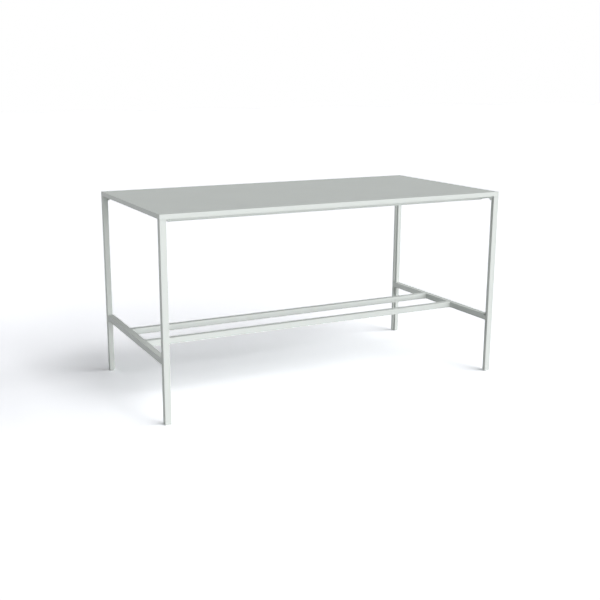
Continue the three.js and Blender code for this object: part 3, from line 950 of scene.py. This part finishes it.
BOARD_HEAD = 0.003
PIN_HEAD = 0.002
_, board_length = screw_seat("board_screw_front_left", UP, -1, BOARD_HEAD)
board_screw = make_screw("board_screw_pattern", 0.005, BOARD_HEAD, 0.0025, board_length - BOARD_HEAD, 0.002, 0.004)
_, casting_length = screw_seat("corner_screw_front_left", ALONG_X, 1, PIN_HEAD)
casting_pin = make_screw("casting_pin_pattern", 0.00275, PIN_HEAD, 0.00175, casting_length - PIN_HEAD, 0.0007, 0.002)
_, joint_length = screw_seat("joint_screw_front_left", ALONG_Y, 1, PIN_HEAD)
joint_pin = make_screw("joint_pin_pattern", 0.00275, PIN_HEAD, 0.00175, joint_length - PIN_HEAD, 0.0007, 0.002)
for corner, (side, end) in CORNERS.items():
    kinds = (
        (board_screw, f"board_screw_{corner}", f"{corner}_board_screw", UP, -1, (0, 0, 1), BOARD_HEAD),
        (casting_pin, f"corner_screw_{corner}", f"{corner}_casting_pin", ALONG_X, -side, (side, 0, 0), PIN_HEAD),
        (joint_pin, f"joint_screw_{corner}", f"{corner}_joint_pin", ALONG_Y, -end, (0, end, 0), PIN_HEAD),
    )
    for pattern, node, name, axis, inward, direction, head_height in kinds:
        seat, _ = screw_seat(node, axis, inward, head_height)
        copy = place_copy(pattern, name, direction, seat)
        smooth_rounds(copy)
        dress(copy, node, zinc_plate)
for pattern in (board_screw, casting_pin, joint_pin):
    bpy.data.objects.remove(pattern, do_unlink=True)
print("screws:", 3 * len(CORNERS))

# %% [markdown]
# ## Glides
# Each foot stands on a nylon pad that a zinc-plated stud carries. The stud has a spanner
# hexagon above the pad and a thread of 1.25 mm pitch that turns in a plug in the foot of the
# leg. The pad is a cylinder: its top face is inset and pushed down for the stud's neck, its
# lower rim is bevelled, and a ring is sunk in its sole so that it grips. Pads and studs ride
# on their own bodies, because the stud turns and the pad only goes up and down.

# %% Make a stud
STUD_RADIUS = 0.004
STUD_PITCH = 0.00125
THREAD_DEPTH = 0.00065
NECK_RADIUS = 0.003
NECK_LENGTH = 0.0033
HEX_ACROSS = 0.010
HEX_HEIGHT = 0.004
HEX_EASE = 0.0004


def make_stud(name, low, high):
    hex_low = low + NECK_LENGTH
    hex_high = hex_low + HEX_HEIGHT
    hex_middle = (hex_low + hex_high) / 2
    stud = add_rod(name, HEX_ACROSS / 2 * HEX_TO_ROUND, (0, 0, hex_low), (0, 0, hex_high), HEX_SIDES)
    bpy.ops.object.mode_set(mode="EDIT")
    pick_edges(lambda a, b: near(a.z, b.z))
    bpy.ops.mesh.bevel(offset=HEX_EASE, segments=2, affect="EDGES")
    bpy.ops.object.mode_set(mode="OBJECT")
    combine(stud, add_rod("neck", NECK_RADIUS, (0, 0, low), (0, 0, hex_middle)), "UNION")
    thread = thread_rod("thread", STUD_RADIUS, THREAD_DEPTH, STUD_PITCH, hex_middle, high)
    combine(stud, thread, "UNION")
    return stud


# %% Make a pad
PAD_SIDES = 48
SOCKET_RADIUS = 0.0033
SOCKET_DEPTH = 0.0033
PAD_CHAMFER = 0.001
SOLE_RIM = 0.002
SOLE_RING = 0.0015
SOLE_SINK = 0.0004


def make_pad(name, radius, high):
    pad = add_rod(name, radius, (0, 0, 0), (0, 0, high), PAD_SIDES)
    bpy.ops.object.mode_set(mode="EDIT")
    pick_faces(lambda centre, normal: normal.z > 0.9)
    bpy.ops.mesh.inset(thickness=radius - SOCKET_RADIUS)
    bpy.ops.mesh.extrude_region_move(TRANSFORM_OT_translate={"value": (0, 0, -SOCKET_DEPTH)})
    pick_edges(lambda a, b: near(a.z, 0) and near(b.z, 0))
    bpy.ops.mesh.bevel(offset=PAD_CHAMFER, segments=3, affect="EDGES")
    pick_faces(lambda centre, normal: normal.z < -0.9 and near(centre.z, 0))
    bpy.ops.mesh.inset(thickness=SOLE_RIM)
    bpy.ops.mesh.inset(thickness=SOLE_RING)
    ring_out = radius - PAD_CHAMFER - SOLE_RIM
    ring_in = ring_out - SOLE_RING
    pick_faces(lambda centre, normal: near(centre.z, 0) and ring_in < centre.xy.length < ring_out)
    bpy.ops.mesh.extrude_region_move(TRANSFORM_OT_translate={"value": (0, 0, SOLE_SINK)})
    bpy.ops.object.mode_set(mode="OBJECT")
    return pad


# %% Set the glides in the feet
stud_low, stud_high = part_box("glide_stud_front_left")
pad_low, pad_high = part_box("glide_pad_front_left")
stud_pattern = make_stud("stud_pattern", stud_low.z, stud_high.z)
pad_pattern = make_pad("pad_pattern", (pad_high.x - pad_low.x) / 2, pad_high.z)
for corner in CORNERS:
    low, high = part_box(f"glide_pad_{corner}")
    foot = ((low.x + high.x) / 2, (low.y + high.y) / 2, 0)
    for pattern, kind, finish, slot in ((stud_pattern, "stud", zinc_plate, "zinc_steel"),
                                        (pad_pattern, "pad", grey_nylon, "glide_nylon")):
        copy = place_copy(pattern, f"{corner}_glide_{kind}", (0, 0, 1), foot)
        smooth_rounds(copy)
        dress(copy, f"glide_{kind}_{corner}", finish, f"{kind}_{corner}")
first_plug = copy_eased("foot_plug_front_left", "front_left_foot_plug")
for corner, plug in copy_to_corners(first_plug, "foot_plug").items():
    dress(plug, f"foot_plug_{corner}", grey_nylon)
print("stud faces:", len(stud_pattern.data.polygons), "pad faces:", len(pad_pattern.data.polygons))
for pattern in (stud_pattern, pad_pattern):
    bpy.data.objects.remove(pattern, do_unlink=True)

# %% [markdown]
# ## The board
# The core and the two laminate sheets are flat sheets in the solids already, cut to the right
# size and drilled, so they stay as they are and only get their finishes.

# %% Finish the board
BOARD_FINISHES = {"top_laminate": laminate, "backing_laminate": laminate, "tabletop_core": particle_board}
for node, finish in BOARD_FINISHES.items():
    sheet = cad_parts[node].data
    sheet.materials.clear()
    sheet.materials.append(finish)
print("board sheets:", ", ".join(BOARD_FINISHES))

# %% [markdown]
# ## Keep the sizes
# The dressed table has to stay in the box of the solids, so its box is printed.

# %% Keep the sizes
low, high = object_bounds()
print("visual box:", tuple(low), tuple(high))
